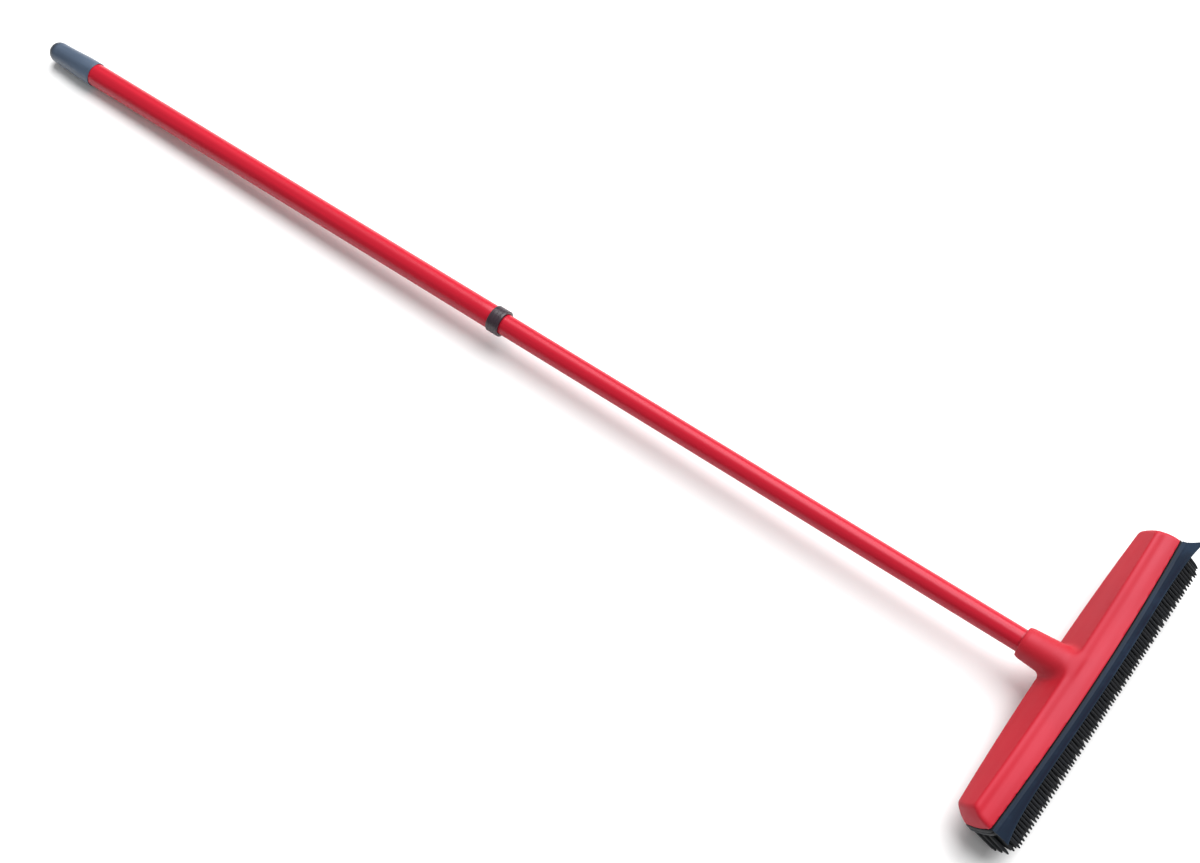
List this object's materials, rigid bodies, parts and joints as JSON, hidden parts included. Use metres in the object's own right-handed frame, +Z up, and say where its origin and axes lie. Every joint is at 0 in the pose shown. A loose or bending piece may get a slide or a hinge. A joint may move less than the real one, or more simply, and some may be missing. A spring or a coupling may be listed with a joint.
{
  "type": "telescopic rubber broom",
  "caption": "Rubber broom with a boat-shaped cover, pin rows and a flared squeegee lip on a telescopic twist-lock handle, laid flat on its back.",
  "frame": {"origin": "middle of the broom's box on the floor it lies on", "axes": "+X along the head, +Y from the head towards the grip, +Z up"},
  "size_m": [0.338, 1.3246, 0.0605],
  "materials": {
    "red_plastic": "red moulded plastic, satin gloss",
    "red_paint": "red gloss paint on thin steel tube",
    "dark_rubber": "soft black rubber",
    "lip_rubber": "soft blue-black rubber with a faint sheen",
    "black_plastic": "black moulded plastic",
    "natural_plastic": "unpigmented nylon",
    "grip_plastic": "blue-black soft plastic",
    "zinc_steel": "zinc plated steel"
  },
  "bodies": {
    "head": {"head_cover": "red_plastic", "carrier_plate": "black_plastic", "rubber_sole": "dark_rubber", "squeegee_lip": "lip_rubber", "bristle_row_1": "dark_rubber", "bristle_row_2": "dark_rubber", "bristle_row_3": "dark_rubber", "bristle_row_4": "dark_rubber", "bristle_row_5": "dark_rubber", "bristle_row_6": "dark_rubber", "bristle_row_7": "dark_rubber", "bristle_row_8": "dark_rubber", "bristle_row_9": "dark_rubber", "sole_screw_1": "zinc_steel", "sole_screw_2": "zinc_steel", "sole_screw_3": "zinc_steel", "sole_screw_4": "zinc_steel"},
    "thread_foot": {"threaded_insert": "black_plastic"},
    "lower_handle": {"lower_tube": "red_paint", "lock_plug": "black_plastic", "lock_washer": "zinc_steel", "lock_screw": "zinc_steel"},
    "lock_sleeve": {"lock_expander": "natural_plastic"},
    "lock_nut": {"lock_cone": "black_plastic"},
    "upper_handle": {"upper_tube": "red_paint", "collar": "black_plastic", "grip_cap": "grip_plastic"}
  },
  "joints": [
    {"name": "thread_travel", "type": "slide", "parent": "head", "child": "thread_foot", "axis": [0, 0.9997, -0.0233], "range_m": [0, 0.0203]},
    {"name": "handle_unscrew", "type": "hinge", "parent": "thread_foot", "child": "lower_handle", "pos_m": [0, -0.57749, 0.04207], "axis": [0, 0.9997, -0.0233], "range_deg": [0, 1440]},
    {"name": "twist_lock", "type": "hinge", "parent": "lower_handle", "child": "lock_sleeve", "pos_m": [0, 0.09633, 0.02636], "axis": [0, 0.9997, -0.0233], "range_deg": [0, 270]},
    {"name": "cone_travel", "type": "slide", "parent": "lock_sleeve", "child": "lock_nut", "axis": [0, 0.9997, -0.0233], "range_m": [0, 0.00224]},
    {"name": "telescope", "type": "slide", "parent": "lock_sleeve", "child": "upper_handle", "axis": [0, 0.9997, -0.0233], "range_m": [-0.47, 0]}
  ],
  "couplings": [
    {"joint": "handle_unscrew", "follows": "thread_travel", "rad_per_m": 1236.8},
    {"joint": "twist_lock", "follows": "cone_travel", "rad_per_m": 2094.4}
  ]
}
